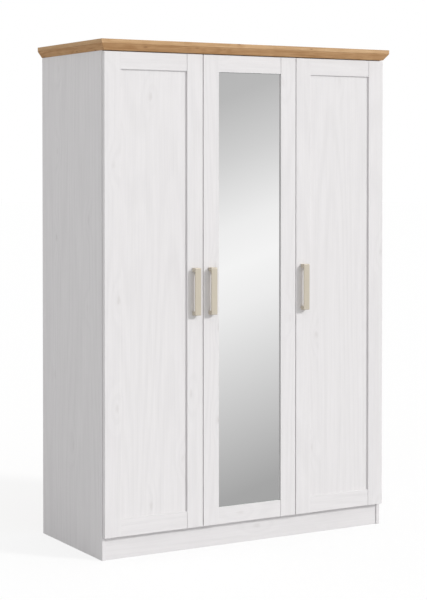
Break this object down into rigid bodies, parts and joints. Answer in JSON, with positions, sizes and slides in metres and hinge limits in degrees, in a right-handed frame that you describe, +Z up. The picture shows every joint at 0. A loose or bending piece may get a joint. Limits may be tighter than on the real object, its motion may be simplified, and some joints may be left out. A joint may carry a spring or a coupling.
{
  "type": "wardrobe with doors",
  "caption": "Free-standing white pine-look wardrobe with an oak-look bevelled crown, framed hinged doors, a full-length mirror door and bridge pulls; hanging space and shelves inside.",
  "frame": {"origin": "on the floor at the middle of the overall footprint", "axes": "+X to the right when facing the doors, +Y towards the back, +Z up"},
  "size_m": [1.44, 0.643, 2.145],
  "materials": {
    "white_pine": "white larch-look laminate, satin, fine vertical grain with faint knots",
    "oak": "oak-look laminate, satin, knots and darker streaks",
    "hardboard": "white lacquered front face, raw brown rear face and edges",
    "mirror": "silvered float glass with ground edges",
    "satin_champagne": "satin champagne",
    "hinge_steel": "nickel plated",
    "rail_chrome": "polished",
    "white_plastic": "fine moulded texture"
  },
  "bodies": {
    "carcass": {"back_joining_strip": "white_plastic", "back_panel_centre": "hardboard", "back_panel_left": "hardboard", "back_panel_right": "hardboard", "bottom_panel": "white_pine", "cornice_front": "oak", "cornice_left": "oak", "cornice_right": "oak", "crown_board": "oak", "hanging_rail": "rail_chrome", "hat_shelf": "white_pine", "left_door_hinge_arm_1": "hinge_steel", "left_door_hinge_arm_2": "hinge_steel", "left_door_hinge_arm_3": "hinge_steel", "left_side_panel": "white_pine", "middle_door_hinge_arm_1": "hinge_steel", "middle_door_hinge_arm_2": "hinge_steel", "middle_door_hinge_arm_3": "hinge_steel", "partition_panel": "white_pine", "plinth_board": "white_pine", "rail_socket_left": "white_plastic", "rail_socket_right": "white_plastic", "rear_plinth_rail": "white_pine", "right_door_hinge_arm_1": "hinge_steel", "right_door_hinge_arm_2": "hinge_steel", "right_door_hinge_arm_3": "hinge_steel", "right_side_panel": "white_pine", "shelf_1": "white_pine", "shelf_2": "white_pine", "shelf_3": "white_pine", "shelf_4": "white_pine", "top_panel": "white_pine"},
    "left_door": {"left_door_handle": "satin_champagne", "left_door_hinge_cup_1": "hinge_steel", "left_door_hinge_cup_2": "hinge_steel", "left_door_hinge_cup_3": "hinge_steel", "left_door_panel": "white_pine", "left_door_rail_bottom": "white_pine", "left_door_rail_top": "white_pine", "left_door_stile_left": "white_pine", "left_door_stile_right": "white_pine"},
    "middle_door": {"middle_door_handle": "satin_champagne", "middle_door_hinge_cup_1": "hinge_steel", "middle_door_hinge_cup_2": "hinge_steel", "middle_door_hinge_cup_3": "hinge_steel", "middle_door_panel": "white_pine", "middle_door_rail_bottom": "white_pine", "middle_door_rail_top": "white_pine", "middle_door_stile_left": "white_pine", "middle_door_stile_right": "white_pine", "mirror": "mirror"},
    "right_door": {"right_door_handle": "satin_champagne", "right_door_hinge_cup_1": "hinge_steel", "right_door_hinge_cup_2": "hinge_steel", "right_door_hinge_cup_3": "hinge_steel", "right_door_panel": "white_pine", "right_door_rail_bottom": "white_pine", "right_door_rail_top": "white_pine", "right_door_stile_left": "white_pine", "right_door_stile_right": "white_pine"}
  },
  "joints": [
    {"name": "left_door_hinge", "type": "hinge", "parent": "carcass", "child": "left_door", "pos_m": [-0.6925, -0.2885, 0], "axis": [0, 0, -1], "range_deg": [0, 110]},
    {"name": "middle_door_hinge", "type": "hinge", "parent": "carcass", "child": "middle_door", "pos_m": [0.22583, -0.2885, 0], "axis": [0, 0, 1], "range_deg": [0, 110]},
    {"name": "right_door_hinge", "type": "hinge", "parent": "carcass", "child": "right_door", "pos_m": [0.6925, -0.2885, 0], "axis": [0, 0, 1], "range_deg": [0, 110]}
  ]
}
